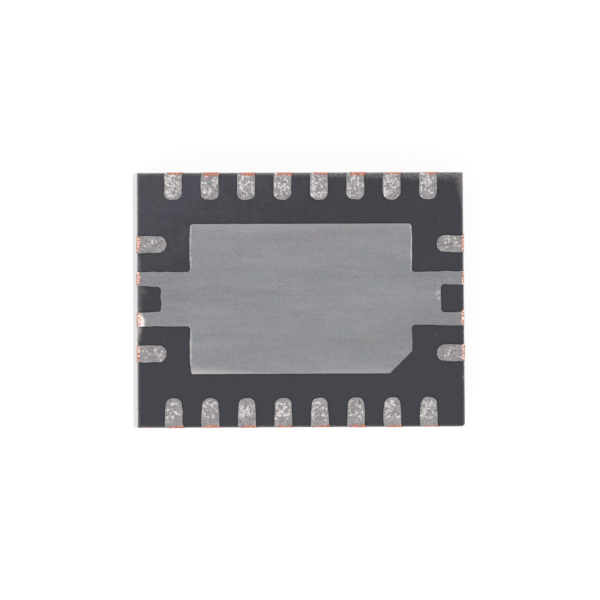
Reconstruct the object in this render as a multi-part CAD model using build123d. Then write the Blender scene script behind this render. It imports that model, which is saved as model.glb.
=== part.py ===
from build123d import *
import os
from math import atan2, cos, degrees, floor, hypot, radians, sin

# A quad flat no-lead chip with 20 leads and an exposed pad, sawn from a moulded strip.
# It lies on its marked face with its terminals up, as a chip does on a bench.
# The origin is the centre of the marked face. +X runs along the package and +Z points out of the terminals.
# Sizes are in millimetres.

# Package
package_length = 4.5
package_width = 3.5
package_height = 0.9
standoff = 0.02  # the terminals stand this far out of the moulding

# Copper lead frame, half etched from the terminal side where the moulding has to grip it
frame_thickness = 0.2
half_etch_depth = 0.1
lead_pitch = 0.5
lead_length = 0.39  # the exposed stretch, from the sawn wall to its round end
row_lead_width = 0.248
side_lead_width = 0.234
lead_end_radius = 0.1
corner_clearance = 0.5  # from a package corner to the centre of the first lead of a row
side_lead_spacing = 1.5
tongue_reach = 0.1  # a lead runs on this far inside the moulding
tongue_overhang = 0.03
tongue_setback = 0.12  # from the sawn wall to where the overhang starts

# Exposed pad, with a neck at each end that splits into two sawn arms
pad_gap = 0.33  # from the round end of a lead to the pad
pad_corner_radius = 0.04
pin_one_chamfer = 0.31
neck_gap = 0.26  # from a side lead to the neck beside it
arm_width = 0.19
notch_depth = 0.33
notch_radius = 0.045
ledge_overhang = 0.1

# Silicon die and the adhesive that holds it on the pad
die_end_margin = 0.53  # from the end of the pad to the end of the die
die_side_margin = 0.33
die_thickness = 0.2
adhesive_thickness = 0.025
adhesive_overhang = 0.06
adhesive_rim = 0.02

# Bond wires, one from the die to each lead
wire_diameter = 0.025
wire_flat_count = 8  # wires and balls this fine are drawn with flat sides
ball_diameter = 0.075
ball_flat_count = 12
ball_height = 0.018
ball_inset = 0.08  # from the edge of the die
ball_corner_inset = 0.16  # from a corner of the die to the first ball of a row
neck_rise = 0.05  # the straight stretch above the ball
loop_height = 0.12
loop_top = 0.25  # the level stretch of a loop
stitch_inset = 0.08  # from the inner end of the lead
stitch_length = 0.05
stitch_width = 0.06
stitch_thickness = 0.006

# Pin one mark, sunk into the marked face
mark_diameter = 0.3
mark_depth = 0.02
mark_inset = 0.45

# Sizes that follow from those above
wall_x = package_length / 2
wall_y = package_width / 2
pad_length = package_length - 2 * (lead_length + pad_gap)
pad_width = package_width - 2 * (lead_length + pad_gap)
neck_width = side_lead_spacing - side_lead_width - 2 * neck_gap
neck_x = wall_x - notch_depth
die_length = pad_length - 2 * die_end_margin
die_width = pad_width - 2 * die_side_margin

# Levels above the marked face. The inside of the package lies below the lead frame.
terminal_face = package_height
mould_face = terminal_face - standoff
etched_face = terminal_face - half_etch_depth
frame_face = terminal_face - frame_thickness
die_seat = frame_face - adhesive_thickness
die_face = die_seat - die_thickness


def slab(outline, low, high):
    """The outline as a solid between two levels."""
    return extrude(Pos(0, 0, low) * outline, amount=high - low)


def corners(sketch, x, y):
    """The sketch's vertices nearest to (x, y) and to its mirror images in both axes."""
    spots = [(sx * x, sy * y, 0) for sx in (-1, 1) for sy in (-1, 1)]
    return [sketch.vertices().sort_by_distance(spot)[0] for spot in spots]


def lead_places():
    """(x, y, inward direction in degrees, width) of each lead at the package wall, in pin order.

    Seen from the terminals, pin one is at the +X end beside the chamfer, and the pins run clockwise.
    """
    row_leads = floor((package_length - 2 * corner_clearance) / lead_pitch + 1e-6) + 1
    row = [lead_pitch * (i - (row_leads - 1) / 2) for i in range(row_leads)]
    side = side_lead_spacing / 2
    lower_row = [(x, -wall_y, 90, row_lead_width) for x in reversed(row)]
    upper_row = [(x, wall_y, -90, row_lead_width) for x in row]
    return [
        (wall_x, -side, 180, side_lead_width),
        *lower_row,
        (-wall_x, -side, 0, side_lead_width),
        (-wall_x, side, 0, side_lead_width),
        *upper_row,
        (wall_x, side, 180, side_lead_width),
    ]


def lead(x, y, direction, width):
    """One lead, sawn off at the wall: a terminal at full thickness, and a half etched tongue round it."""
    terminal = Pos(lead_length / 2, 0) * Rectangle(lead_length, width)
    inner_corners = terminal.vertices().sort_by(Axis.X)[-2:]
    terminal = fillet(inner_corners, min(lead_end_radius, 0.45 * width))
    tongue_length = lead_length + tongue_reach - tongue_setback
    tongue_centre = tongue_setback + tongue_length / 2
    tongue = Pos(tongue_centre, 0) * Rectangle(tongue_length, width + 2 * tongue_overhang)
    solid = slab(terminal, frame_face, terminal_face) + slab(tongue, frame_face, etched_face)
    return Pos(x, y) * Rot(0, 0, direction) * solid


def paddle_outline():
    """The pad with its chamfer at pin one, and the neck at each end."""
    pad = Rectangle(pad_length, pad_width)
    pin_one = pad.vertices().sort_by_distance((pad_length / 2, -pad_width / 2, 0))[0]
    pad = chamfer(pin_one, pin_one_chamfer)
    pad = fillet(pad.vertices(), pad_corner_radius)
    outline = pad + Rectangle(2 * neck_x, neck_width)
    return fillet(corners(outline, pad_length / 2, neck_width / 2), pad_corner_radius)


def exposed_pad():
    """The die paddle with its sawn arms at full thickness, and a half etched ledge round its inner face."""
    paddle = paddle_outline()
    outline = paddle
    arm_y = (neck_width - arm_width) / 2
    for end in (-1, 1):
        for side in (-1, 1):
            outline += Pos(end * (wall_x - notch_depth / 2), side * arm_y) * Rectangle(notch_depth, arm_width)
    notch_width = neck_width - 2 * arm_width
    outline = fillet(corners(outline, neck_x, notch_width / 2), min(notch_radius, 0.45 * notch_width))
    ledge = offset(paddle, ledge_overhang, kind=Kind.INTERSECTION)
    return slab(outline, frame_face, terminal_face) + slab(ledge, frame_face, etched_face)


def die_adhesive():
    """Cured adhesive, squeezed out to a sloping edge round the die."""
    at_pad = Rectangle(die_length + 2 * adhesive_overhang, die_width + 2 * adhesive_overhang)
    at_die = Rectangle(die_length + 2 * adhesive_rim, die_width + 2 * adhesive_rim)
    return loft([Pos(0, 0, die_seat) * at_die, Pos(0, 0, frame_face) * at_pad])


def silicon_die():
    """The sawn die."""
    return slab(Rectangle(die_length, die_width), die_face, die_seat)


def ball_place(x, y):
    """Where on the die the wire of the lead at (x, y) starts."""
    if abs(y) < wall_y:
        fan = (die_width / 2 - ball_corner_inset) / wall_y
        return (x / wall_x * (die_length / 2 - ball_inset), y * fan)
    fan = (die_length / 2 - ball_corner_inset) / (wall_x - corner_clearance)
    return (x * fan, y / wall_y * (die_width / 2 - ball_inset))


def flat_sided(across, flats):
    """A regular outline of the given size across its flats."""
    return RegularPolygon(across / 2, flats, major_radius=False)


def bond_wire(x, y, direction):
    """A ball on the die, a looped wire in a vertical plane, and a flat stitch on the lead's inner face."""
    ball_x, ball_y = ball_place(x, y)
    reach = lead_length + tongue_reach - stitch_inset
    stitch_x = x + reach * cos(radians(direction))
    stitch_y = y + reach * sin(radians(direction))
    heading = degrees(atan2(stitch_y - ball_y, stitch_x - ball_x))
    run = hypot(stitch_x - ball_x, stitch_y - ball_y)

    # The wire is drawn from the ball along +X, with its loop below the die face, and cut off at the lead
    shoulder = loop_height - neck_rise
    fall_start = shoulder + loop_top
    fall_slope = (frame_face - die_face + loop_height) / (run - fall_start)
    path = Polyline(
        (0, 0, die_face - ball_height / 2),
        (0, 0, die_face - neck_rise),
        (shoulder, 0, die_face - loop_height),
        (fall_start, 0, die_face - loop_height),
        (run + wire_diameter, 0, frame_face + wire_diameter * fall_slope),
    )
    section = Plane(path @ 0, z_dir=path % 0) * flat_sided(wire_diameter, wire_flat_count)
    wire = split(sweep(section, path, transition=Transition.RIGHT), Plane.XY.offset(frame_face), keep=Keep.BOTTOM)
    ball = slab(flat_sided(ball_diameter, ball_flat_count), die_face - ball_height, die_face)
    tail = Pos(run + stitch_length / 2, 0) * Rectangle(stitch_length, stitch_width)
    stitch = slab(tail, frame_face - stitch_thickness, frame_face)
    return Pos(ball_x, ball_y) * Rot(0, 0, heading) * (ball + wire + stitch)


def package_body(inner_parts):
    """The moulding compound, cast round everything else and sawn square, with the mark in its lower face."""
    block = slab(Rectangle(package_length, package_width), 0, mould_face)
    mark = Pos(wall_x - mark_inset, mark_inset - wall_y) * Circle(mark_diameter / 2)
    return block - slab(mark, 0, mark_depth) - inner_parts


def build():
    """Every piece of the chip by name."""
    parts = {"exposed_pad": exposed_pad(), "die_adhesive": die_adhesive(), "silicon_die": silicon_die()}
    for pin, (x, y, direction, width) in enumerate(lead_places(), start=1):
        parts[f"lead_{pin:02d}"] = lead(x, y, direction, width)
        parts[f"bond_wire_{pin:02d}"] = bond_wire(x, y, direction)
    parts["package_body"] = package_body(list(parts.values()))
    return parts


os.makedirs("parts", exist_ok=True)
for name, shape in build().items():
    export_step(shape, f"parts/{name}.step")
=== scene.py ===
import math
import random

import bmesh
import bpy
from mathutils import Matrix, Vector, noise


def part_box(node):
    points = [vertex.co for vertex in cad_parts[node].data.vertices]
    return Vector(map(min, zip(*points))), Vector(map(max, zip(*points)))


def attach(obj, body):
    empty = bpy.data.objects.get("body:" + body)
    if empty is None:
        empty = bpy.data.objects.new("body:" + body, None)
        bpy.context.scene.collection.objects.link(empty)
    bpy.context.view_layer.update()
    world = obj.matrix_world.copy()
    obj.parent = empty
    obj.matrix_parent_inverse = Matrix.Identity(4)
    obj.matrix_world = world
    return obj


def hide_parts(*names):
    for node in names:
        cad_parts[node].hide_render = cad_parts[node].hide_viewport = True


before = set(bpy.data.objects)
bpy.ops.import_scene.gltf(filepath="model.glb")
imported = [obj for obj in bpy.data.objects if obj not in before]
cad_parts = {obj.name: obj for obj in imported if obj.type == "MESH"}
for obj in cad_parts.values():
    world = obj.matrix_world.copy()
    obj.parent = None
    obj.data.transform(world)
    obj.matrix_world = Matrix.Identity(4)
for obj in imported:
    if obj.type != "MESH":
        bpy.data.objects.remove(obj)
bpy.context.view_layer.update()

bl_info = {
    "name": "Leadless chip finish",
    "version": (1, 0, 0),
    "blender": (4, 5, 0),
    "location": "3D View > Sidebar > Chip",
    "description": "Gives a leadless chip package its sawn edges, tinned leads and rolled pad",
    "category": "Object",
}

MM = 0.001
MICRON = 1e-6
LEADS = [f"lead_{pin:02d}" for pin in range(1, 21)]
WIRES = [f"bond_wire_{pin:02d}" for pin in range(1, 21)]

# The planes of the package, from its solids
body_low, body_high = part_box("package_body")
pad_low, pad_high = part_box("exposed_pad")
WALL_X = body_high.x
WALL_Y = body_high.y
BASE = body_low.z
MOULD_FACE = body_high.z
TERMINAL_FACE = pad_high.z
FRAME_FACE = pad_low.z
ETCHED_FACE = (FRAME_FACE + TERMINAL_FACE) / 2

# The etched frame: the pad's end and side, the middle of a side lead, the pitch of the rows and half widths
PAD_X = 1.53 * MM
PAD_Y = 1.03 * MM
SIDE_Y = 0.75 * MM
PITCH = 0.5 * MM
LEAD_HALF = 0.124 * MM
SIDE_LEAD_HALF = 0.117 * MM
BITE_X = -1.275 * MM
BITE_Y = 1.375 * MM
BITE_RADIUS = 60 * MICRON

# Where the etch is uneven: none, full, full and none again, in millimetres
WAIST_X = (1.50, 1.56, 1.74, 1.85)
NECK_SIDE_Y = (0.28, 0.34, 0.42, 0.48)
NOTCH_X = (1.86, 1.94, 2.12, 2.20)
NOTCH_SIDE_Y = (0.05, 0.13, 0.23, 0.28)
ROW_TIP_Y = (-1.57, -1.47, -1.30, -1.20)
SIDE_TIP_X = (1.70, 1.80, 1.87, 1.93)

# Points closer than a touch count as one place. A plane cuts nothing that is closer than a seam.
TOUCH = 0.4 * MICRON
SEAM = 0.05 * MICRON
WALLS = {"end", "side"}


def screen(red, green, blue):
    """The linear colour that shows as these screen values of 0 to 255."""
    return tuple(((v / 255 + 0.055) / 1.055) ** 2.4 if v > 10 else v / 3295 for v in (red, green, blue))


def number(name, description, default, precision=4, **kind):
    """A property for a number, plain or of a kind."""
    return bpy.props.FloatProperty(name=name, description=description, default=default,
                                   precision=precision, **kind)


def length(name, description, microns):
    """A property for a size, given in microns."""
    return number(name, description, microns * MICRON, 7, unit="LENGTH")


def angle(name, description, degrees):
    """A property for an angle, given in degrees."""
    return number(name, description, math.radians(degrees), subtype="ANGLE")


def colour(name, description, red, green, blue):
    """A property for a colour, given by its screen values."""
    default = screen(red, green, blue)
    return bpy.props.FloatVectorProperty(name=name, description=description, default=default,
                                         subtype="COLOR", min=0, max=1)


class FrameSettings(bpy.types.PropertyGroup):
    """How the etched frame and the sawn walls lie in this package."""
    long_offset: length("Long offset", "How far the frame lies off centre, towards pin one", 5)
    cross_offset: length("Cross offset", "How far the frame lies off the centre line", 16.5)
    side_offset: length("Side offset", "How much further the side leads lie off centre, towards pin one", 10)
    long_spread: number("Long spread", "Growth of the frame along the package", 0.0065)
    cross_spread: number("Cross spread", "Growth of the frame across the package", 0.0022)
    end_pull: length("End pull", "How far the etch has drawn in the pad's ends", 3.5)
    corner_pull: length("Corner pull", "How far the etch has drawn in the pad's corners", 13)
    bulge: length("Bulge", "How much the end pull varies along the pad's ends", 7)
    waist: length("Waist", "How far the neck beside pin one is drawn in next to the pad", 11)
    notch_growth: length("Notch growth", "How far the notch at pin one is widened on each side", 12)
    notch_shrink: length("Notch shrink", "How far the other notch is narrowed on each side", 7)
    wander: length("Wander", "How far the etched outlines wander", 9)
    bite: length("Bite", "Depth of the bite in the tip of one lead", 26)
    tip_taper: length("Tip taper", "How far the tips of the lower and side leads are drawn in", 10)
    side_reach: length("Side reach", "How much further the side leads reach inwards", 6)
    saw_skew: length("Saw skew", "How far the wall at pin one is out of square", 9.5)
    saw_swell: length("Saw swell", "How far the other walls are sawn outside their place", 3.5)
    edge_step: length("Edge step", "Spacing of the points along the frame's straight edges", 24)


class MouldSettings(bpy.types.PropertyGroup):
    """Sizes and colours of the moulding compound."""
    edge_round: length("Edge rounding", "How far the sawn edges are worn round", 6)
    corner_round: length("Corner rounding", "Radius of a worn corner of the package", 14)
    pin_one_round: length("Pin one rounding", "Radius of the most worn corner, beside pin one", 42)
    edge_step: length("Edge step", "Spacing of the points along a sawn edge", 12)
    chip_depth: length("Chip depth", "Depth of the largest chips along a sawn edge", 12)
    face: colour("Face", "Moulded face", 53, 54, 60)
    bloom: colour("Bloom", "Paler bloom towards one corner of the face", 70, 67, 77)
    brown_bloom: colour("Brown bloom", "Browner patches of the bloom", 72, 70, 75)
    dust: colour("Dust", "Dust and bruising along the sawn edges", 175, 168, 170)
    pink_dust: colour("Pink dust", "Dust with copper in it, along the lower edge", 187, 163, 157)
    wall: colour("Wall", "Sawn wall", 78, 78, 82)
    filler: colour("Filler", "Grains of filler that the saw has cut open", 132, 132, 135)


class LeadSettings(bpy.types.PropertyGroup):
    """Sizes and colours of the tinned leads."""
    rim_round: length("Rim rounding", "Radius of the tin at the rim of a lead", 9)
    cut_step: length("Mesh step", "Spacing of the points on a lead's face", 9)
    grain_height: length("Grain height", "Height of the tin grains", 3)
    dull: colour("Dull tin", "Tin between the grains", 122, 121, 124)
    tin: colour("Tin", "Raised tin", 157, 152, 153)
    # The sparkle colour is painted glints: tin grains shown bright as if they catch the light.
    sparkle: colour("Sparkle", "Bright tin grains", 212, 207, 205)
    # Painted shade: a dark tone for small hollows in the tin that the mesh does not have.
    pit_shade_tone: colour("Pit", "Pits in the tin", 84, 84, 90)


class PadSettings(bpy.types.PropertyGroup):
    """Sizes and colours of the exposed pad."""
    rim_round: length("Rim rounding", "Radius at the rim of the pad", 6)
    metal: colour("Metal", "Rolled and plated copper", 136, 136, 142)
    cool: colour("Cool tint", "Greenish patches of the plating", 131, 137, 140)
    warm: colour("Warm tint", "Rosy patches of the plating", 141, 136, 143)
    straw: colour("Straw tint", "Straw coloured streaks of the plating", 137, 138, 137)
    # Painted highlights: the brighter rims, edges, corners and ends of the pad.
    pad_highlight: colour("Burnished", "Polished rims and edges", 190, 183, 182)
    # Painted glints: the bright metal beside the arms' sawn ends.
    end_glint: colour("Rubbed", "Bright metal beside the sawn ends", 240, 232, 228)


class CopperSettings(bpy.types.PropertyGroup):
    """Sizes and colours of the copper that the saw has cut and dragged."""
    thickness: length("Thickness", "Thickness of a burr", 3)
    step: length("Step", "Spacing of the points along a burr", 7)
    drop: length("Drop", "How far a burr hangs down the sawn wall", 12)
    arm_reach: number("Arm reach", "How many times further the burrs of the worn arms reach", 1.5)
    fresh: colour("Fresh", "Freshly dragged copper", 202, 148, 133)
    dull: colour("Dull", "Copper in the folds", 158, 101, 84)
    cut: colour("Cut", "Copper cut clean by the saw", 172, 106, 85)
    # Painted highlight: the light tone on the upper faces of the burrs on the short sides.
    highlight_copper: colour("Pale", "Polished edges of the burrs on the short sides", 240, 216, 208)


class StageSettings(bpy.types.PropertyGroup):
    """The camera, the floor and the light."""
    lens: number("Lens", "Focal length in millimetres", 600)
    frame_width: length("Frame width", "Width of the picture at the terminal face", 8259)
    tilt: angle("Tilt", "Camera's lean towards the left wall", 4.75)
    roll: angle("Roll", "Turn of the chip in the picture", 0.21)
    aim: bpy.props.FloatVectorProperty(name="Aim", description="Point of the terminal face in mid picture",
                                       size=2, default=(-10.3 * MICRON, -1.4 * MICRON), precision=7,
                                       subtype="TRANSLATION")
    floor_size: length("Floor size", "Side of the floor", 600000)
    floor: colour("Floor", "Floor as the chip sees it", 230, 230, 231)
    floor_glow: number("Floor glow", "White light of the floor as the camera sees it", 0.82)
    floor_tone: number("Floor tone", "Tone of that floor, which takes the shadows", 0.3)
    room_light: number("Room light", "Strength of the light from all round", 0.48)


def operator_pair(operation):
    """An operator between sockets or numbers, and its reflected form."""

    def direct(self, other):
        return self.math(operation, self, other)

    def reflected(self, other):
        return self.math(operation, other, self)

    return direct, reflected


class Socket:
    """A shader value. Arithmetic on it adds Math nodes."""
    __add__, __radd__ = operator_pair("ADD")
    __sub__, __rsub__ = operator_pair("SUBTRACT")
    __mul__, __rmul__ = operator_pair("MULTIPLY")
    __truediv__, __rtruediv__ = operator_pair("DIVIDE")
    __pow__, __rpow__ = operator_pair("POWER")

    def __init__(self, shader, output):
        self.shader = shader
        self.output = output

    def math(self, operation, *values):
        return self.shader.add("ShaderNodeMath", {"operation": operation}, dict(enumerate(values)))

    def __abs__(self):
        return self.math("ABSOLUTE", self)

    def least(self, other):
        return self.math("MINIMUM", self, other)

    def most(self, other):
        return self.math("MAXIMUM", self, other)

    def ramp(self, low, high):
        """0 at low, 1 at high, and smooth between. High may be below low."""
        limits = {"From Min": low, "From Max": high}
        if high < low:
            limits = {"From Min": high, "From Max": low, "To Min": 1, "To Max": 0}
        settings = {"interpolation_type": "SMOOTHSTEP"}
        return self.shader.add("ShaderNodeMapRange", settings, {"Value": self, **limits})


class Shader:
    """The nodes of a material or of the world, under construction."""

    def __init__(self, holder, output):
        holder.use_nodes = True
        self.holder = holder
        self.output = output
        self.nodes = holder.node_tree.nodes
        self.links = holder.node_tree.links
        self.nodes.clear()

    def add(self, kind, settings=None, inputs=None, output=0):
        """A node with its settings made first and then its sockets fed. Gives the chosen output, if any."""
        node = self.nodes.new(kind)
        for key, value in (settings or {}).items():
            setattr(node, key, value)
        for key, value in (inputs or {}).items():
            self.feed(node.inputs[key], value)
        return Socket(self, node.outputs[output]) if node.outputs else None

    def feed(self, socket, value):
        if isinstance(value, Socket):
            self.links.new(value.output, socket)
        elif socket.type == "RGBA":
            socket.default_value = (*value, 1)
        else:
            socket.default_value = value

    def others(self, socket, *names):
        """Further outputs of the node that a socket comes from."""
        return [Socket(self, socket.output.node.outputs[name]) for name in names]

    def axes(self, vector):
        """The three parts of a vector."""
        return self.others(self.add("ShaderNodeSeparateXYZ", inputs={0: vector}), "X", "Y", "Z")

    def mix(self, factor, first, second):
        """A colour between two."""
        return self.add("ShaderNodeMix", {"data_type": "RGBA"}, {0: factor, 6: first, 7: second}, output=2)

    def scaled(self, vector, amount):
        """A vector or a colour times a number."""
        return self.add("ShaderNodeVectorMath", {"operation": "SCALE"}, {"Vector": vector, "Scale": amount})

    def bump(self, height, distance):
        return self.add("ShaderNodeBump", inputs={"Height": height, "Distance": distance})

    def close(self, surface):
        """Ends the material or the world with its surface."""
        self.add(self.output, inputs={"Surface": surface})

    def close_split(self, lighting, seen):
        """Ends with one surface that lights the chip, and one that the camera, metal and glass show."""
        camera = self.add("ShaderNodeLightPath", output="Is Camera Ray")
        glossy, through = self.others(camera, "Is Glossy Ray", "Is Transmission Ray")
        factor = camera.most(glossy).most(through)
        self.close(self.add("ShaderNodeMixShader", inputs={0: factor, 1: lighting, 2: seen}))


class Finish(Shader):
    """A material with its place in millimetres at hand."""

    def __init__(self, name):
        super().__init__(bpy.data.materials.new(name), "ShaderNodeOutputMaterial")
        self.place = self.scaled(self.add("ShaderNodeTexCoord", output="Object"), 1 / MM)
        self.x, self.y, self.z = self.axes(self.place)
        geometry = self.add("ShaderNodeNewGeometry", output="Normal")
        self.upward = abs(self.axes(geometry)[2])

    def noise(self, per_mm, detail, roughness, scale=None):
        """Soft noise of about 0.3 to 0.7 with so many waves to the millimetre, times a scale by axis."""
        place = self.place
        if scale:
            place = self.add("ShaderNodeVectorMath", {"operation": "MULTIPLY"}, {0: place, 1: scale})
        inputs = {"Vector": place, "Scale": per_mm, "Detail": detail, "Roughness": roughness}
        return self.add("ShaderNodeTexNoise", inputs=inputs)

    def wall_distance(self):
        """How far a point is inside the nearest sawn wall, in millimetres."""
        look = bpy.context.scene.chip_frame
        skewed_wall = (1 - self.y * (MM / WALL_Y)) * (look.saw_skew / MM) + WALL_X / MM
        left_wall = (WALL_X + look.saw_swell) / MM
        long_wall = (WALL_Y + look.saw_swell) / MM
        return (skewed_wall - self.x).least(self.x + left_wall).least(long_wall - abs(self.y))

    def principled(self, inputs):
        """Ends the material with a Principled surface."""
        self.close(self.add("ShaderNodeBsdfPrincipled", inputs=inputs))
        return self.holder

    def metal(self, tone, roughness, relief, depth, metallic=1):
        """Ends the material as metal with a fine relief."""
        return self.principled({
            "Base Color": tone,
            "Metallic": metallic,
            "Roughness": roughness,
            "Normal": self.bump(relief, depth),
        })


def copper_tone(finish, copper):
    """Copper that the saw has dragged into folds. On the short sides its upper face carries a painted
    highlight.
    """
    folds = finish.noise(42, 3, 0.7)
    tone = finish.mix(folds.ramp(0.40, 0.56), copper.fresh, copper.dull)
    short_side = abs(finish.x).ramp(2.16, 2.2)
    lower_side = finish.y.ramp(-1.70, -1.73)
    # Painted highlight on the upper faces of the burrs on the short sides.
    highlight_mask = finish.noise(44, 3, 0.65).ramp(0.49, 0.56)
    highlight_mask = highlight_mask * short_side * finish.upward.ramp(0.3, 0.7)
    return finish.mix(highlight_mask, finish.scaled(tone, 1 + lower_side * 0.08), copper.highlight_copper)


def sawn_tone(finish, copper):
    """A clean cut through copper, with the level lines of the saw."""
    lines = finish.noise(9, 4, 0.65, (1, 1, 7))
    tone = finish.mix(lines.ramp(0.38, 0.62), copper.cut, copper.fresh)
    return finish.mix(finish.upward.ramp(0.3, 0.6), tone, copper_tone(finish, copper))


def grains(finish, per_mm):
    """Scattered grains: how far a point is from the nearest, and two chances of that grain's own."""
    centre = finish.add("ShaderNodeTexVoronoi", inputs={"Vector": finish.place, "Scale": per_mm})
    inputs = {"Vector": finish.others(centre, "Color")[0]}
    chances = finish.axes(finish.add("ShaderNodeTexWhiteNoise", inputs=inputs, output="Color"))
    return centre, chances[0], chances[1]


def cut_grains(finish, per_mm, least):
    """Round grains of mixed sizes and tones that the saw has cut open."""
    centre, size, tone = grains(finish, per_mm)
    uneven = finish.noise(per_mm * 2, 1, 0.5) * 0.3
    return (size * 0.62 - least - centre - uneven).ramp(0, 0.08) * (tone * 0.75 + 0.25)


def moulded_face(finish, look):
    """The matt face, with a paler bloom towards one corner, specks and a few motes of dust."""
    x, y = finish.x, finish.y
    cloud = finish.noise(2.2, 4, 0.6)
    mottle = finish.noise(9, 3, 0.6)
    bloom = (y * 0.56 - x * 0.38 + cloud * 1.3 + mottle * 0.5).ramp(1.5, 2.5)
    browner = finish.noise(3.2, 3, 0.6).ramp(0.50, 0.60)
    face = finish.mix(bloom, look.face, finish.mix(browner, look.bloom, look.brown_bloom))
    upper = (y * 0.9 - x * 0.15).ramp(-0.3, 1.2)
    specks = (finish.noise(46, 2, 0.8) - 0.5) * (upper * 1.1 + 0.25)
    face = finish.scaled(face, cloud * 0.1 + mottle * 0.14 + specks + 0.88 - upper * 0.06)
    motes = finish.noise(30, 1, 0.4).ramp(0.79, 0.81)
    return finish.mix(motes * 0.2, face, look.dust)


def edge_dust(finish, look, distance):
    """(mask, tone) of the dust along the sawn edges. It lies widest at the upper edge's right end."""
    x, y = finish.x, finish.y
    notch_top = 0.13
    arm_foot = -0.40
    from_left = x + WALL_X / MM
    patches = finish.noise(4, 2, 0.5)
    ragged = finish.noise(30, 3, 0.65)
    crown = (x * 0.35 + y * 2.4).ramp(3.7, 4.9)
    upper_reach = crown * 0.125 + y.ramp(1.5, 1.7) * 0.013
    beside_arms = abs(y).ramp(0.62, 0.52)
    left_reach = x.ramp(-2.0, -2.2) * (0.008 + beside_arms * 0.045)
    reach = upper_reach + left_reach + patches * 0.03 + ragged * 0.03 + 0.006
    dusty = finish.noise(46, 2, 0.7).ramp(0.3, 0.7) * 0.62 + 0.16
    haze = (1 - distance / reach).most(0) ** 2 * dusty
    in_notch = (from_left + abs(y - notch_top)).ramp(0.2, 0.03) * 0.28
    below_arm = (from_left + abs(y - arm_foot) * 0.3).ramp(0.085, 0) * 2
    haze = haze.most(in_notch * ragged).most(below_arm * (ragged * 0.4 + 0.3))
    bruise = (y - x * 0.3).ramp(-1.6, 0.6)
    rim = (1 - distance / (bruise * 0.008 + ragged * 0.016 + 0.001)).ramp(0, 0.7)
    coppery = (-1.6 - y).ramp(-0.05, 0.05) * 0.45
    return haze.most(rim * 0.9), finish.mix(coppery, look.dust, look.pink_dust)


def sawn_wall(finish, look):
    """(tone, relief) of a sawn wall, with level saw lines and three sizes of cut filler grains."""
    lines = finish.noise(9, 4, 0.6, (0.5, 0.5, 7))
    cut = cut_grains(finish, 17, 0.12).most(cut_grains(finish, 34, 0.04))
    cut = cut.most(cut_grains(finish, 67, -0.08) * 0.7)
    tone = finish.mix(cut * (lines * 0.8 + 0.2), finish.scaled(look.wall, lines * 0.5 + 0.75), look.filler)
    return tone, lines * 0.35 + cut * 0.2


def copper_smear(finish, wall, distance):
    """Where the saw has dragged copper: faintly along the walls, and as specks on some rims."""
    x, y, z = finish.x, finish.y, finish.z
    frame_level = FRAME_FACE / MM
    rim_level = MOULD_FACE / MM
    streaks = finish.noise(5, 3, 0.65, (1, 1, 10))
    at_frame = z.ramp(frame_level - 0.02, frame_level + 0.04) * wall
    scratches = finish.noise(38, 2, 0.6, (1, 1, 4))
    at_rim = z.ramp(rim_level - 0.02, rim_level - 0.004) * distance.ramp(0.017, 0.011)
    dragged_side = (0.2 - y).ramp(0, 0.8).most(x.ramp(2.0, 2.2))
    along_wall = streaks.ramp(0.56, 0.66) * at_frame * 0.4
    return along_wall.most(scratches.ramp(0.58, 0.62) * at_rim * dragged_side)


def mould_material(look, copper):
    """Matt moulding compound with sawn walls and dusty, bruised edges."""
    finish = Finish("mould_compound")
    wall = finish.upward.ramp(0.7, 0.3)
    distance = finish.wall_distance()
    dusted, dust = edge_dust(finish, look, distance)
    face = finish.mix(dusted, moulded_face(finish, look), dust)
    sawn, relief = sawn_wall(finish, look)
    smear = copper_smear(finish, wall, distance)
    tone = finish.mix(smear * 0.9, finish.mix(wall, face, sawn), copper_tone(finish, copper))

    facing = finish.add("ShaderNodeLayerWeight", inputs={"Blend": 0.5}, output="Facing")
    grazing = wall * facing.ramp(0.84, 0.92)
    fine = finish.noise(60, 3, 0.7)
    return finish.principled({
        "Base Color": tone,
        "Metallic": smear * 0.8,
        "Roughness": 0.62 - wall * 0.22 - grazing * 0.3,
        "Specular IOR Level": 0.3,
        "Coat Weight": grazing * 0.45,
        "Coat Roughness": 0.1,
        "Normal": finish.bump(fine * (1 - wall) + relief * wall, 2 * MICRON),
    })


def lead_material(look, copper):
    """Coarse matt tin with painted glints on its grains, and bare copper where the saw went through."""
    finish = Finish("tinned_lead")
    distance = finish.wall_distance()
    sheen = finish.add("ShaderNodeAttribute", {"attribute_name": "sheen"}, output="Fac")
    grain = finish.noise(29, 3, 0.6)
    clusters = finish.noise(10, 2, 0.5)
    fine = finish.noise(60, 2, 0.6)

    tin = finish.mix((grain * 0.45 + fine * 0.3 + clusters * 0.25).ramp(0.36, 0.60), look.dull, look.tin)
    # Painted glints: bright beads and patches on the grains where they would catch the light, densest where
    # the sheen attribute is high.
    centre, chance, glint = grains(finish, 31)
    shown = (chance * 0.35 + clusters * 0.8 + sheen * 0.32).ramp(0.79, 0.87)
    beads = (0.60 - centre).ramp(0, 0.2) * shown * (glint * 0.4 + 0.6)
    sparkle = (grain + clusters * 0.45 + sheen * 0.17).ramp(0.92, 1.12) * 0.6
    tin = finish.mix(sparkle.most(beads), tin, look.sparkle)
    short_side = abs(finish.y).ramp(1.1, 1.0)
    tin = finish.scaled(tin, 1 - short_side * 0.055)
    # Painted shade: dark spots stand for shade in small hollows of the tin, with no hollow in the mesh.
    pit_shade = finish.noise(18, 1, 0.5).ramp(0.30, 0.24)
    tin = finish.mix(pit_shade * 0.8, tin, look.pit_shade_tone)
    specks = finish.noise(46, 1, 0.4).ramp(0.73, 0.77) * sheen
    tin = finish.mix(specks * 0.8, tin, copper.fresh)

    sawn = (distance + fine * 0.005).ramp(0.0055, 0.0035)
    tone = finish.mix(sawn, tin, sawn_tone(finish, copper))
    return finish.metal(tone, grain * 0.2 + 0.34, fine + grain, 1.2 * MICRON)


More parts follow.
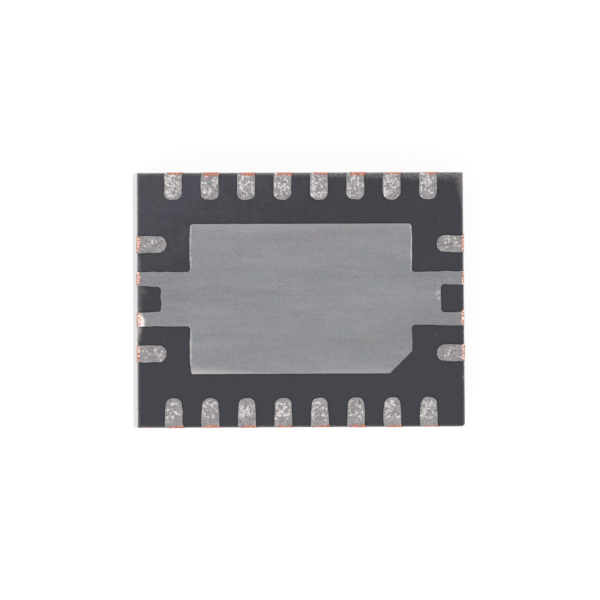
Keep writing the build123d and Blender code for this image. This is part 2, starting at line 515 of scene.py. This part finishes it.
def plating(finish, look, lines, scratches, speckle):
    """Plated metal in faint patches and streaks of tint, with painted light along its long edges and in its
    middle, and painted shade by the chamfer and at the necks.
    """
    x, y = finish.x, finish.y
    grit = finish.noise(48, 3, 0.75)
    cool = finish.noise(5, 5, 0.75, (0.7, 1, 1)) - speckle * 0.7
    warm = finish.noise(4, 5, 0.75, (-0.6, -1.2, 1)) + speckle * 0.7
    straw = finish.noise(6, 5, 0.75, (0.3, 1.4, 1)) + grit * 0.7
    metal = finish.mix(cool.ramp(0.13, 0.33), look.metal, look.cool)
    metal = finish.mix(warm.ramp(0.83, 1.03), metal, look.warm)
    metal = finish.mix(straw.ramp(0.83, 1.03), metal, look.straw)

    bands = finish.noise(3, 3, 0.6, (0.25, 1, 1))
    grain = lines * 0.28 + scratches * 0.08 + bands * 0.34 + speckle * 0.75
    # Painted light and shade: lighter along the long edges and in the middle, darker by the chamfer and at
    # the necks.
    long_edges = abs(y + 0.01).ramp(0.80, 0.92)
    middle = (abs(x + 0.1) * 0.6 + abs(y + 0.35)).ramp(0.75, 0.2)
    chamfer = (abs(x - 1.25) * 0.8 + abs(y + 0.6)).ramp(0.6, 0.1)
    neck = abs(x).ramp(1.45, 1.65)
    level = long_edges * 0.035 + middle * 0.025 - chamfer * 0.05 - neck * 0.05 + 0.262
    return finish.scaled(metal, grain + level)


def painted_highlights(finish, lines, speckle):
    """Where painted highlights lie on the pad: its long edges, two corners, its rim and its ends, and bright
    nicks beside the notch.
    """
    x, y = finish.x, finish.y
    long_edges = (abs(y - 0.015) + lines * 0.08).ramp(0.96, 1.06)
    left_corner = (abs(x + 1.5) * 0.15 + abs(y + 1.02) * 1.6).ramp(0.22, 0.02)
    right_corner = (abs(x - 0.85) * 0.2 + abs(y + 1.0) * 1.2).ramp(0.17, 0.05)
    below_top = y.ramp(1.04, 0.98) * 0.7 + 0.3
    rim = finish.upward.ramp(0.985, 0.85) * finish.noise(5, 3, 0.6).ramp(0.40, 0.60) * below_top
    uneven = finish.noise(24, 2, 0.6) * 0.09
    ends = (abs(x - 0.005) + uneven).ramp(1.551, 1.571) * abs(y).ramp(0.38, 0.42)
    ends = ends * (y - x * 0.7).ramp(-1.5, -1.2)
    nicks = (abs(x - 1.92) + abs(y - 0.09) * 0.35).ramp(0.08, 0.03) * speckle.ramp(0.52, 0.60)
    highlighted = long_edges * 0.1 + left_corner * 0.55 + right_corner * 0.1
    return highlighted.most(rim * 0.8).most(ends * 0.6).most(nicks)


def painted_end_glints(finish, speckle, distance):
    """Painted glints on the arms beside their sawn ends, brightest on one of them."""
    glint_arm = (finish.y + 0.355).ramp(0.28, 0.07) * (finish.x + 2.0).ramp(0, -0.1)
    arm_glint = (glint_arm * 0.12 - distance + (0.5 - speckle) * 0.06).ramp(0, 0.05)
    end_glint = (distance + speckle * 0.12 - 0.05).ramp(0.028, 0.008)
    return (end_glint * 0.4).most(arm_glint * 0.92)


def pad_material(look, copper):
    """Satin rolled metal with faint lines along the strip, painted highlights on its rims and edges, and
    painted glints beside the arms' sawn ends.
    """
    finish = Finish("rolled_pad")
    distance = finish.wall_distance()
    lines = finish.noise(14, 4, 0.7, (0.12, 1, 1))
    scratches = finish.noise(34, 2, 0.6, (0.15, 1, 1))
    speckle = finish.noise(42, 3, 0.75)

    metal = plating(finish, look, lines, scratches, speckle)
    # Painted highlights on the pad's rim, edges, corners and ends.
    metal = finish.mix(painted_highlights(finish, lines, speckle), metal, look.pad_highlight)
    # Painted glints beside the arms' sawn ends.
    metal = finish.mix(painted_end_glints(finish, speckle, distance), metal, look.end_glint)
    sawn = (distance + speckle * 0.006).ramp(0.006, 0.004)
    tone = finish.mix(sawn, metal, sawn_tone(finish, copper))
    return finish.metal(tone, 0.42, scratches + speckle * 0.8, 0.6 * MICRON)


def burr_material(copper):
    """Copper dragged by the saw."""
    finish = Finish("dragged_copper")
    return finish.metal(copper_tone(finish, copper), 0.38, finish.noise(60, 3, 0.7), 2 * MICRON)


def silicon_material():
    """The dark polished die."""
    finish = Finish("silicon")
    cloud = finish.noise(3, 3, 0.5)
    tone = finish.mix(cloud, screen(70, 72, 86), screen(92, 92, 104))
    return finish.principled({"Base Color": tone, "Metallic": 0.6, "Roughness": cloud * 0.1 + 0.15})


def adhesive_material():
    """Silver filled adhesive."""
    finish = Finish("silver_adhesive")
    flakes = finish.noise(50, 1, 0.4)
    tone = finish.mix(flakes.ramp(0.4, 0.6), screen(150, 150, 148), screen(205, 205, 200))
    return finish.metal(tone, 0.5, flakes, 1.5 * MICRON, metallic=0.5)


def wire_material():
    """Drawn copper wire."""
    finish = Finish("drawn_wire")
    lines = finish.noise(80, 2, 0.6)
    tone = finish.mix(lines.ramp(0.35, 0.65), screen(214, 138, 104), screen(238, 178, 146))
    return finish.metal(tone, 0.3, lines, 0.6 * MICRON)


def near(value, other):
    """Whether two sizes are the same."""
    return abs(value - other) < TOUCH


def waves(point, per_mm, seed=0.0):
    """Smooth noise of about -1 to 1 at a point."""
    return noise.noise(Vector(point) * (per_mm / MM) + Vector((seed, seed * 1.7, seed * 2.3)))


def within(value, low, high):
    """0 at low, 1 at high, and straight between. High may be below low."""
    return min(1.0, max(0.0, (value - low) / (high - low)))


def band(value, stops):
    """1 between the inner two of four stops in millimetres, and down to 0 at the outer two."""
    start, full, fading, stop = (place * MM for place in stops)
    return within(value, start, full) * within(value, stop, fading)


def solid_copy(node):
    """A bmesh of a node's solid, with its loose triangles merged into flat faces."""
    bm = bmesh.new()
    bm.from_mesh(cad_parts[node].data)
    bmesh.ops.remove_doubles(bm, verts=bm.verts, dist=0.2 * MICRON)
    bmesh.ops.dissolve_limit(bm, angle_limit=math.radians(0.5), verts=bm.verts, edges=bm.edges)
    for face in bm.faces:
        face.smooth = False
    return bm


def divided(bm, edges, step):
    """Divides each edge into stretches of about one step."""
    by_cuts = {}
    for edge in edges:
        by_cuts.setdefault(round(edge.calc_length() / step) - 1, []).append(edge)
    for cuts, group in sorted(by_cuts.items()):
        if cuts > 0:
            bmesh.ops.bisect_edges(bm, edges=group, cuts=cuts)


def rounded(bm, edges, radius, segments=3):
    """Bevels the edges round and shades the bevels smooth."""
    made = bmesh.ops.bevel(bm, geom=edges, offset=radius, offset_type="OFFSET", segments=segments,
                           profile=0.5, affect="EDGES", material=-1, clamp_overlap=False)
    bm.normal_update()
    for face in made["faces"]:
        face.smooth = max(abs(c) for c in face.normal) < 0.9995


def parts_of(faces):
    """The faces with their edges and vertices."""
    return list({part for face in faces for part in (face, *face.edges, *face.verts)})


def diced(bm, faces, axis, step):
    """Cuts the faces by planes across an axis, about one step apart, and gives the pieces' faces."""
    places = [vert.co[axis] for face in faces for vert in face.verts]
    low = min(places)
    high = max(places)
    normal = Vector([1.0 if axis == i else 0.0 for i in range(3)])
    geometry = parts_of(faces)
    count = max(1, round((high - low) / step))
    for i in range(1, count):
        point = normal * (low + (high - low) * i / count)
        cut = bmesh.ops.bisect_plane(bm, geom=geometry, dist=SEAM, plane_co=point, plane_no=normal)
        geometry = cut["geom"]
    return [part for part in geometry if isinstance(part, bmesh.types.BMFace)]


def drawn_in(offset, half):
    """How far a tip's sides are drawn in, of 1: most at a lead's edges, and none well away from it."""
    share = abs(offset) / half
    return math.copysign(min(1.0, share) * within(share, 1.7, 1.4), offset)


def pad_end_move(x, y, look):
    """How far the etch moves a point at the pad's ends along the package."""
    at_end = 1 - within(abs(abs(x) - PAD_X), 0, 0.09 * MM)
    corner_share = 1.5 if x < 0 and y < 0 else 0.6
    at_corner = within(PAD_Y - abs(y), 0.25 * MM, 0) ** 2 * corner_share
    beside_neck = within(abs(y), 0.55 * MM, 0.47 * MM)
    bulge = max(0.0, 1 - abs(abs(y) - 0.7 * MM) / (0.2 * MM)) - 0.8 * beside_neck
    pull = abs(look.end_pull + look.corner_pull * at_corner - look.bulge * bulge)
    return -math.copysign(pull, x) * at_end


def neck_move(x, y, look):
    """How far the etch moves a point at a notch, or at the waist of the neck, across the package."""
    growth = look.notch_growth if x > 0 else -look.notch_shrink
    at_notch = band(abs(x), NOTCH_X) * band(abs(y), NOTCH_SIDE_Y)
    at_waist = band(x, WAIST_X) * band(abs(y), NECK_SIDE_Y)
    return math.copysign(1, y) * (growth * at_notch - look.waist * at_waist)


def tip_move(x, y, look):
    """How far the etch moves a point at the tips of the lower and side leads, along and across."""
    to_row_middle = (round(x / PITCH - 0.5) + 0.5) * PITCH - x
    to_side_middle = math.copysign(SIDE_Y, y) - y
    at_row_tip = band(y, ROW_TIP_Y) * within(abs(x), 1.97 * MM, 1.93 * MM)
    at_side_tip = band(abs(x), SIDE_TIP_X)
    on_side_lead = within(abs(to_side_middle), 1.7 * SIDE_LEAD_HALF, SIDE_LEAD_HALF)
    move_x = look.tip_taper * drawn_in(to_row_middle, LEAD_HALF) * at_row_tip
    move_x -= math.copysign(look.side_reach, x) * at_side_tip * on_side_lead
    return move_x, look.tip_taper * drawn_in(to_side_middle, SIDE_LEAD_HALF) * at_side_tip


def settled(point, look):
    """Where a point of the etched frame, or of the moulding round it, lies in this package."""
    x, y, z = point
    move_x, move_y = tip_move(x, y, look)
    side_lead = within(abs(x), PAD_X + 0.1 * MM, PAD_X + 0.25 * MM)
    side_lead *= within(abs(abs(y) - SIDE_Y), 0.4 * MM, 0.2 * MM)
    move_x += x * look.long_spread + look.long_offset + side_lead * look.side_offset
    move_x += pad_end_move(x, y, look)
    bitten = max(0.0, 1 - math.hypot(x - BITE_X, y - BITE_Y) / BITE_RADIUS) ** 2
    move_y += y * look.cross_spread + look.cross_offset + bitten * look.bite
    move_y += neck_move(x, y, look)

    on_pad = within(abs(y), 1.2 * MM, 1.1 * MM) * within(abs(x), 1.7 * MM, 1.6 * MM)
    wander = look.wander * (1 - 0.8 * on_pad)
    move_x += wander * waves((x, y, 0), 10, 3)
    move_y += wander * waves((x, y, 0), 10, 9)

    # Nothing moves through a wall, or below the frame
    depth = within(z, FRAME_FACE, ETCHED_FACE)
    free_x = within(WALL_X - abs(x), 0, 0.3 * MM) * depth
    free_y = within(WALL_Y - abs(y), 0, 0.3 * MM) * depth
    return Vector((x + move_x * free_x, y + move_y * free_y, z))


def at_wall(place, wall):
    """1 at a wall, down to 0 well inside it."""
    return within(place, 0.85 * wall, wall)


def sawn_place(point, look):
    """Where a point lies in a package whose walls are sawn a little out of place."""
    skew = look.saw_skew * (1 - point.y / WALL_Y) * at_wall(point.x, WALL_X)
    swell_x = look.saw_swell * at_wall(-point.x, WALL_X)
    swell_y = math.copysign(look.saw_swell, point.y) * at_wall(abs(point.y), WALL_Y)
    return point + Vector((skew - swell_x, swell_y, 0))


def settle(bm):
    """Makes a solid follow the frame as it lies in this package."""
    look = bpy.context.scene.chip_frame
    long_edges = [e for e in bm.edges if e.calc_length() > 1.5 * look.edge_step]
    divided(bm, [e for e in long_edges if min(v.co.z for v in e.verts) > FRAME_FACE - MICRON], look.edge_step)
    for vert in bm.verts:
        vert.co = settled(vert.co, look)


def rim_edges(bm):
    """The edges round a terminal's face, without its sawn ends."""
    edges = [e for e in bm.edges if all(near(v.co.z, TERMINAL_FACE) for v in e.verts)]
    return [e for e in edges if not shared_planes(e)]


def shared_planes(edge):
    """The names of the moulding's outer planes that hold both ends of an edge."""
    return outer_planes(edge.verts[0].co) & outer_planes(edge.verts[1].co)


def outer_planes(point):
    """The names of the moulding's outer planes that hold a point."""
    planes = {
        "end": near(abs(point.x), WALL_X),
        "side": near(abs(point.y), WALL_Y),
        "top": near(point.z, MOULD_FACE),
        "base": near(point.z, BASE),
    }
    return {name for name, holds in planes.items() if holds}


def placed(name, data):
    """A new object in the scene."""
    made = bpy.data.objects.new(name, data)
    bpy.context.scene.collection.objects.link(made)
    return made


def mesh_from(bm, name, material):
    """The bmesh as a mesh with one material."""
    mesh = bpy.data.meshes.new(name)
    bm.to_mesh(mesh)
    bm.free()
    mesh.materials.append(material)
    return mesh


def piece(bm, name, material, slot, *nodes):
    """Turns the bmesh into a piece that stands for the nodes and rides on the chip."""
    look = bpy.context.scene.chip_frame
    for vert in bm.verts:
        vert.co = sawn_place(vert.co, look)
    mesh = mesh_from(bm, name, material)
    if "custom_normal" in mesh.attributes:
        mesh.attributes.remove(mesh.attributes["custom_normal"])
    made = placed(name, mesh)
    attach(made, "root")
    if nodes:
        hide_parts(*nodes)


class CHIP_OT_package_body(bpy.types.Operator):
    """Make the moulding with worn and chipped sawn edges"""
    bl_idname = "chip.package_body"
    bl_label = "Package body"

    def execute(self, context):
        look = context.scene.chip_mould
        bm = solid_copy("package_body")
        self.part_base(bm)
        for edge in self.upright_edges(bm):
            rounded(bm, [edge], self.corner_radius(edge.verts[0].co, look), segments=6)
        settle(bm)
        divided(bm, self.upright_edges(bm, look) + self.rims(bm, look), look.edge_step)
        rounded(bm, self.rims(bm, look), look.edge_round)
        self.chip(bm, look)
        material = mould_material(look, context.scene.chip_copper)
        piece(bm, "moulded_body", material, "mould_compound", "package_body")
        return {"FINISHED"}

    def part_base(self, bm):
        """Parts the marked face straight across at the mark, so that no seam runs into a corner."""
        base = {f for f in bm.faces if all(near(v.co.z, BASE) for v in f.verts)}
        mark = [v.co.x for f in base for v in f.verts if not outer_planes(v.co) & WALLS]
        middle = Vector(((min(mark) + max(mark)) / 2, 0, BASE))
        bmesh.ops.bisect_plane(bm, geom=parts_of(base), dist=SEAM, plane_co=middle, plane_no=(1, 0, 0))
        inner = [e for e in bm.edges if all(abs(f.normal.z) > 0.9 and near(v.co.z, BASE)
                                            for f in e.link_faces for v in f.verts)]
        seams = [e for e in inner if not all(near(v.co.x, middle.x) for v in e.verts)]
        bmesh.ops.dissolve_edges(bm, edges=seams, use_verts=True)

    def corner_radius(self, point, look):
        """How round the upright edge nearest to a point is worn. The one at pin one is worn most."""
        return look.pin_one_round if point.x > 0 and point.y < 0 else look.corner_round

    def at_corner(self, point, look):
        """Whether a point lies in one of the round corners."""
        radius = self.corner_radius(point, look) + MICRON
        return abs(point.x) > WALL_X - radius and abs(point.y) > WALL_Y - radius

    def upright_edges(self, bm, look=None):
        """The sharp upright edges, or given the settings, the long edges of the round corners."""
        tall = [e for e in bm.edges if abs(e.verts[0].co.z - e.verts[1].co.z) > 0.5 * MOULD_FACE]
        if look:
            return [e for e in tall if self.at_corner(e.verts[0].co, look)]
        return [e for e in tall if WALLS <= outer_planes(e.verts[0].co)]

    def outermost(self, point, look):
        """Whether a point lies on a wall or in a round corner."""
        return bool(outer_planes(point) & WALLS) or self.at_corner(point, look)

    def rims(self, bm, look):
        """The sawn edges round the moulded faces."""
        level = [e for e in bm.edges if shared_planes(e) & {"top", "base"}]
        rims = [e for e in level if any(abs(f.normal.z) < 0.5 for f in e.link_faces)]
        return [e for e in rims if all(self.outermost(v.co, look) for v in e.verts)]

    def outline(self, point, look):
        """(depth inside the sawn outline, way inward, 1 in mid corner and 0 outside it) of a point."""
        radius = self.corner_radius(point, look)
        side_x = math.copysign(1, point.x)
        side_y = math.copysign(1, point.y)
        out = Vector((abs(point.x) - WALL_X + radius, abs(point.y) - WALL_Y + radius))
        if min(out) > 0:
            bend = 2 * out.x * out.y / out.length_squared
            return radius - out.length, Vector((-side_x * out.x, -side_y * out.y, 0)).normalized(), bend
        if out.x > out.y:
            return radius - out.x, Vector((-side_x, 0, 0)), 0
        return radius - out.y, Vector((0, -side_y, 0)), 0

    def chip(self, bm, look):
        """Wears the sawn edges, with small chips here and there."""
        reach = 1.2 * look.edge_round
        for vert in bm.verts:
            gap, inward, bend = self.outline(vert.co, look)
            level = min(MOULD_FACE - vert.co.z, vert.co.z - BASE)
            if gap > reach or (level > reach and not bend):
                continue
            wear = 0.3 * look.edge_round * (0.5 + 0.5 * waves(vert.co, 30))
            chip = look.chip_depth * max(0.0, waves(vert.co, 11, 5) - 0.2) * 1.6
            depth = wear + chip
            if TOUCH < level < reach:
                vert.co.z += depth * (-1 if vert.co.z > MOULD_FACE / 2 else 1)
            vert.co += inward * depth * (1 if gap > TOUCH and level < reach else bend)


class CHIP_OT_leads(bpy.types.Operator):
    """Make the tinned leads with rounded rims and coarse grains"""
    bl_idname = "chip.leads"
    bl_label = "Leads"

    def execute(self, context):
        look = context.scene.chip_lead
        material = lead_material(look, context.scene.chip_copper)
        for seed, node in enumerate(LEADS):
            bm = solid_copy(node)
            settle(bm)
            rounded(bm, rim_edges(bm), look.rim_round)
            level = TERMINAL_FACE - 1.2 * look.rim_round
            face = [f for f in bm.faces if min(v.co.z for v in f.verts) > level]
            for axis in (0, 1):
                face = diced(bm, face, axis, look.cut_step)
            self.plate(bm, look, 3.1 * seed)
            piece(bm, f"tinned_{node}", material, "lead_plating", node)
        return {"FINISHED"}

    def plate(self, bm, look, seed):
        """Gives a lead's face its grains, and marks how densely painted glints show on it, with painted light
        on one side of each row lead.
        """
        sheen = bm.verts.layers.float.new("sheen")
        face = [v for v in bm.verts if v.co.z > TERMINAL_FACE - 1.5 * look.rim_round]
        low = [min(v.co[i] for v in face) for i in range(3)]
        high = [max(v.co[i] for v in face) for i in range(3)]
        middle = Vector([(low[i] + high[i]) / 2 for i in range(3)])
        half = Vector([high[i] - middle[i] for i in range(3)])
        in_row = half.y >= half.x
        along = 1 if in_row else 0
        across = 1 - along
        wall = (WALL_X, WALL_Y)[along]
        level = 0.9 + 0.3 * waves(middle, 3) if in_row else 0.5
        # Painted light: glints are denser on one side of each row lead, as if it were lit from that side.
        painted_light_lean = 0.35 if in_row else 0
        for vert in face:
            share = (vert.co[across] - middle[across]) / half[across]
            from_wall = wall - abs(vert.co[along])
            from_rim = min(half[across] * (1 - abs(share)), 0.55 * (2 * half[along] - from_wall))
            dense = level * (1 - painted_light_lean * share) * within(from_rim, 0.008 * MM, 0.04 * MM)
            if in_row and vert.co.y < 0:
                dense *= within(from_wall, 0.06 * MM, 0.14 * MM)
            vert[sheen] = dense
            if not near(from_wall, 0):
                grain = waves(vert.co, 28, seed) + 0.6 * waves(vert.co, 60, seed)
                vert.co.z += look.grain_height * grain
        for part in bm.faces:
            part.smooth = min(v.co.z for v in part.verts) > TERMINAL_FACE - 2 * look.rim_round


class CHIP_OT_exposed_pad(bpy.types.Operator):
    """Make the exposed pad with its rolled face and soft rim"""
    bl_idname = "chip.exposed_pad"
    bl_label = "Exposed pad"

    def execute(self, context):
        look = context.scene.chip_pad
        bm = solid_copy("exposed_pad")
        settle(bm)
        rounded(bm, rim_edges(bm), look.rim_round)
        piece(bm, "rolled_pad", pad_material(look, context.scene.chip_copper), "pad_plating", "exposed_pad")
        return {"FINISHED"}


class CHIP_OT_dragged_copper(bpy.types.Operator):
    """Make the ragged copper that the saw has dragged over each cut end"""
    bl_idname = "chip.dragged_copper"
    bl_label = "Dragged copper"

    # The way inward, and how far a burr starts before its end, runs past it and reaches in, in microns
    SIDES = {
        "upper": (Vector((0, -1, 0)), 50, 26, 52),
        "lower": (Vector((0, 1, 0)), 50, 26, 44),
        "left": (Vector((1, 0, 0)), 10, 0, 46),
        "right": (Vector((-1, 0, 0)), 10, 40, 46),
    }

    def execute(self, context):
        scene = context.scene
        look = scene.chip_copper
        material = burr_material(look)
        rng = random.Random(7)
        for node in (*LEADS, "exposed_pad"):
            for place, (side, middle, half) in enumerate(self.sawn_ends(node)):
                bm = self.burr(side, settled(middle, scene.chip_frame), half, look, rng)
                piece(bm, f"dragged_copper_{node}_{place}", material, "bond_wire")
        return {"FINISHED"}

    def sawn_ends(self, node):
        """(side, middle of the upper edge, half width) of each end of a node that the saw has cut."""
        face = {tuple(round(c, 7) for c in v.co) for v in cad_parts[node].data.vertices
                if near(v.co.z, TERMINAL_FACE)}
        ends = []
        for axis, wall, sides in ((0, WALL_X, ("left", "right")), (1, WALL_Y, ("lower", "upper"))):
            for outward, side in zip((-1, 1), sides):
                line = sorted(point[1 - axis] for point in face if near(point[axis], outward * wall))
                for low, high in zip(line[::2], line[1::2]):
                    middle = [outward * wall, outward * wall, TERMINAL_FACE]
                    middle[1 - axis] = (low + high) / 2
                    ends.append((side, Vector(middle), (high - low) / 2))
        return ends

    def burr(self, side, middle, half, look, rng):
        """Copper folded over a sawn edge, with a ragged inner border."""
        in_row = side in ("upper", "lower")
        along = Vector((1, 0, 0)) if in_row else Vector((0, 1, 0))
        inward, *spans = self.SIDES[side]
        before, past, reach = (size * MICRON for size in spans)
        start = -half + rng.uniform(0.6, 1.1) * before
        stop = half + rng.uniform(0.3, 1.1) * past
        reach *= rng.uniform(0.65, 1.2)
        if side == "left" and half < 0.9 * SIDE_LEAD_HALF:
            reach *= look.arm_reach
        tick = rng.uniform(0, 26) * MICRON if side == "lower" else 0
        seed = rng.uniform(0, 50)
        roughness = 1 if in_row else 0.5
        fold = 0.34

        bm = bmesh.new()
        steps = round((stop - start) / look.step)
        bmesh.ops.create_grid(bm, x_segments=steps, y_segments=6, size=0.5)
        for vert in bm.verts:
            u = vert.co.x + 0.5
            v = vert.co.y + 0.5
            run = start + (stop - start) * u
            end = min(1.0, u / 0.1, (1 - u) / 0.1)
            ragged = 0.5 * waves((run, 0, 0), 24, seed) + 0.35 * waves((run, 0, 0), 60, seed)
            teeth = 0.75 + ragged * roughness
            spread = (reach * max(0.06, teeth) + tick * max(0, 1 - abs(u - 0.92) / 0.08)) * end
            inner = within(v, fold, 1)
            hang = within(v, fold, 0)
            droop = 0.55 * max(0, abs(run) - half)
            lift = look.thickness * (1.6 + 1.2 * waves((run, v * reach, 0), 40, seed))
            vert.co = middle + along * run + inward * (spread * inner - look.thickness * 0.5)
            vert.co.z += lift * (1 - hang) - droop - look.drop * hang * (0.6 + 0.4 * teeth) * end
        bmesh.ops.recalc_face_normals(bm, faces=bm.faces)
        bmesh.ops.solidify(bm, geom=bm.faces[:], thickness=look.thickness)
        for face in bm.faces:
            face.smooth = True
        return bm


class CHIP_OT_inner_parts(bpy.types.Operator):
    """Finish the die, its adhesive and the bond wires inside the moulding"""
    bl_idname = "chip.inner_parts"
    bl_label = "Inner parts"

    def execute(self, context):
        finishes = dict.fromkeys(WIRES, wire_material())
        finishes["silicon_die"] = silicon_material()
        finishes["die_adhesive"] = adhesive_material()
        for node, material in finishes.items():
            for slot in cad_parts[node].material_slots:
                slot.material = material
        return {"FINISHED"}


class CHIP_OT_stage(bpy.types.Operator):
    """Set up the floor, the light and the camera"""
    bl_idname = "chip.stage"
    bl_label = "Stage"

    def execute(self, context):
        scene = context.scene
        scene.view_settings.view_transform = "Standard"
        self.make_floor(scene.chip_stage)
        self.make_light(scene, scene.chip_stage)
        self.make_camera(scene, scene.chip_stage)
        return {"FINISHED"}

    def make_floor(self, look):
        shader = Shader(bpy.data.materials.new("pale_floor"), "ShaderNodeOutputMaterial")
        plain = shader.add("ShaderNodeBsdfDiffuse", inputs={"Color": look.floor})
        shadow = shader.add("ShaderNodeBsdfDiffuse", inputs={"Color": [look.floor_tone] * 3})
        glow = shader.add("ShaderNodeEmission", inputs={"Color": (1, 1, 1), "Strength": look.floor_glow})
        shader.close_split(plain, shader.add("ShaderNodeAddShader", inputs={0: shadow, 1: glow}))
        bm = bmesh.new()
        bmesh.ops.create_grid(bm, x_segments=1, y_segments=1, size=look.floor_size / 2)
        floor = placed("floor", mesh_from(bm, "floor", shader.holder))

    def make_light(self, scene, look):
        scene.world = bpy.data.worlds.new("studio")
        shader = Shader(scene.world, "ShaderNodeOutputWorld")
        room = shader.add("ShaderNodeBackground", inputs={"Color": (1, 1, 1), "Strength": look.room_light})
        white = shader.add("ShaderNodeBackground", inputs={"Color": (1, 1, 1), "Strength": 1.0})
        shader.close_split(room, white)

        # Name, direction, strength, and spread in degrees
        suns = (
            ("key_light", (-0.6, -0.7, 0.8), 1.6, 45),
            ("fill_light", (0.6, 0.7, 0.75), 0.9, 60),
        )
        for name, towards, strength, spread in suns:
            light = bpy.data.lights.new(name, "SUN")
            light.energy = strength
            light.angle = math.radians(spread)
            placed(name, light).rotation_euler = Vector(towards).to_track_quat("Z", "Y").to_euler()

    def make_camera(self, scene, look):
        data = bpy.data.cameras.new("camera")
        data.lens = look.lens
        data.clip_start = 1 * MM
        data.clip_end = 10
        distance = look.frame_width / data.sensor_width * data.lens
        towards = Vector((-math.sin(look.tilt), 0, math.cos(look.tilt)))
        target = Vector((*look.aim, TERMINAL_FACE))
        turn = Matrix.Rotation(-look.tilt, 4, "Y") @ Matrix.Rotation(-look.roll, 4, "Z")
        scene.camera = placed("camera", data)
        scene.camera.matrix_world = Matrix.Translation(target + towards * distance) @ turn


class CHIP_PT_panel(bpy.types.Panel):
    """The steps that dress the chip"""
    bl_idname = "CHIP_PT_panel"
    bl_label = "Chip finish"
    bl_space_type = "VIEW_3D"
    bl_region_type = "UI"
    bl_category = "Chip"

    def draw(self, context):
        for step in OPERATORS:
            self.layout.operator(step.bl_idname)


SETTINGS = {
    "chip_frame": FrameSettings,
    "chip_mould": MouldSettings,
    "chip_lead": LeadSettings,
    "chip_pad": PadSettings,
    "chip_copper": CopperSettings,
    "chip_stage": StageSettings,
}
OPERATORS = (
    CHIP_OT_stage,
    CHIP_OT_package_body,
    CHIP_OT_leads,
    CHIP_OT_exposed_pad,
    CHIP_OT_dragged_copper,
    CHIP_OT_inner_parts,
)


def register():
    for name, group in SETTINGS.items():
        bpy.utils.register_class(group)
        setattr(bpy.types.Scene, name, bpy.props.PointerProperty(type=group))
    for step in OPERATORS:
        bpy.utils.register_class(step)
    bpy.utils.register_class(CHIP_PT_panel)


def unregister():
    bpy.utils.unregister_class(CHIP_PT_panel)
    for step in reversed(OPERATORS):
        bpy.utils.unregister_class(step)
    for name, group in reversed(SETTINGS.items()):
        delattr(bpy.types.Scene, name)
        bpy.utils.unregister_class(group)


def main():
    register()
    bpy.ops.chip.stage()
    bpy.ops.chip.package_body()
    bpy.ops.chip.leads()
    bpy.ops.chip.exposed_pad()
    bpy.ops.chip.dragged_copper()
    bpy.ops.chip.inner_parts()


if __name__ == "__main__":
    main()
